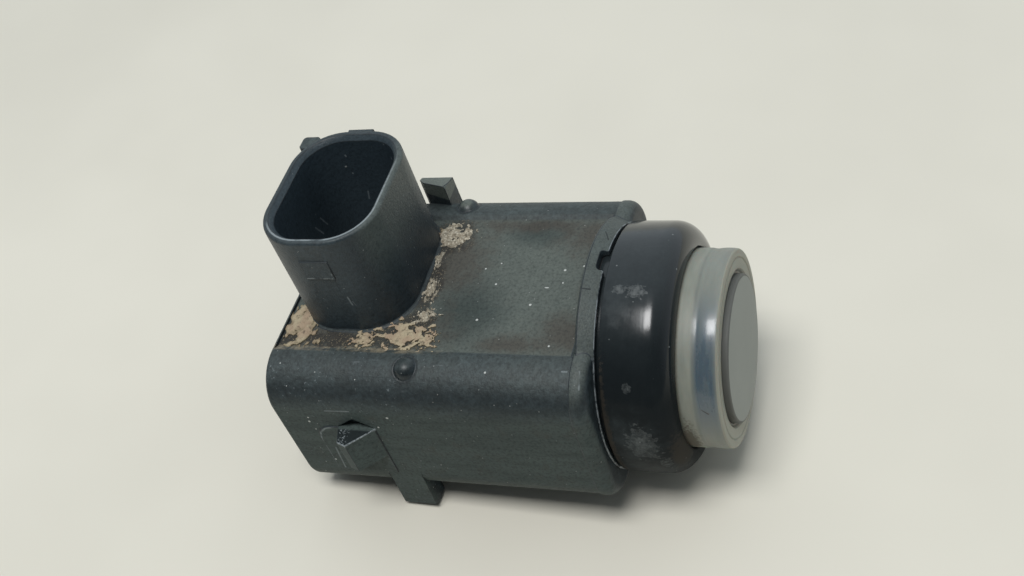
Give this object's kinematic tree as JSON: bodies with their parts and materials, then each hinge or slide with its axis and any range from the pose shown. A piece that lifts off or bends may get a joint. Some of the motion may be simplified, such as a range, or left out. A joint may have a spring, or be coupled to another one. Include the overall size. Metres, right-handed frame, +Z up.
{
  "type": "parking sensor",
  "caption": "Ultrasonic parking sensor: a black moulded body with an upright plug socket and lock lugs, and a glossy collar that holds a round membrane in a soft grey ring.",
  "frame": {"origin": "on the acoustic axis, in the plane of the collar's rear shoulder", "axes": "+X forward along the acoustic axis, out of the membrane; +Z up, the way the plug socket points; +Y to the left seen along +X"},
  "size_m": [0.048, 0.0344, 0.0362],
  "materials": {
    "housing_black": "fine-grained black moulding, dusty and scuffed from use",
    "cover_black": "plain black moulding",
    "collar_gloss": "glossy black moulding with dull scuffs",
    "gasket_rubber": "soft black seal",
    "silicone": "translucent grey silicone",
    "membrane_paint": "fine matt grey coat on aluminium",
    "piezo_ceramic": "plain sintered disc",
    "damping_foam": "soft dark foam",
    "lead_red": "insulated wire",
    "lead_dark": "insulated wire",
    "carrier_plastic": "plain moulding",
    "contact_brass": "plain stamped brass",
    "board_green": "lacquered laminate",
    "ferrite": "sintered dark grey core",
    "base_plastic": "plain moulding",
    "winding_copper": "enamelled copper wire",
    "chip_black": "moulded epoxy",
    "tinned_metal": "tinned leads",
    "can_aluminium": "drawn can",
    "cap_ceramic": "plain ceramic blocks",
    "res_ceramic": "coated ceramic blocks",
    "terminal_metal": "tinned stamped terminals"
  },
  "bodies": {
    "root": {"housing": "housing_black", "base_cover": "cover_black", "collar": "collar_gloss", "collar_gasket": "gasket_rubber", "decoupling_ring": "silicone", "membrane_pot": "membrane_paint", "piezo_disc": "piezo_ceramic", "damping_pad": "damping_foam", "live_lead": "lead_red", "ground_lead": "lead_dark", "contact_carrier": "carrier_plastic", "near_contact": "contact_brass", "far_contact": "contact_brass", "circuit_board": "board_green", "transformer_base": "base_plastic", "transformer_core": "ferrite", "transformer_winding": "winding_copper", "control_chip": "chip_black", "chip_leads": "tinned_metal", "storage_capacitor": "can_aluminium", "capacitor_base": "base_plastic", "protection_diode": "chip_black", "chip_capacitors": "cap_ceramic", "chip_resistors": "res_ceramic", "supply_pin": "terminal_metal", "signal_pin": "terminal_metal", "ground_pin": "terminal_metal"}
  },
  "joints": []
}
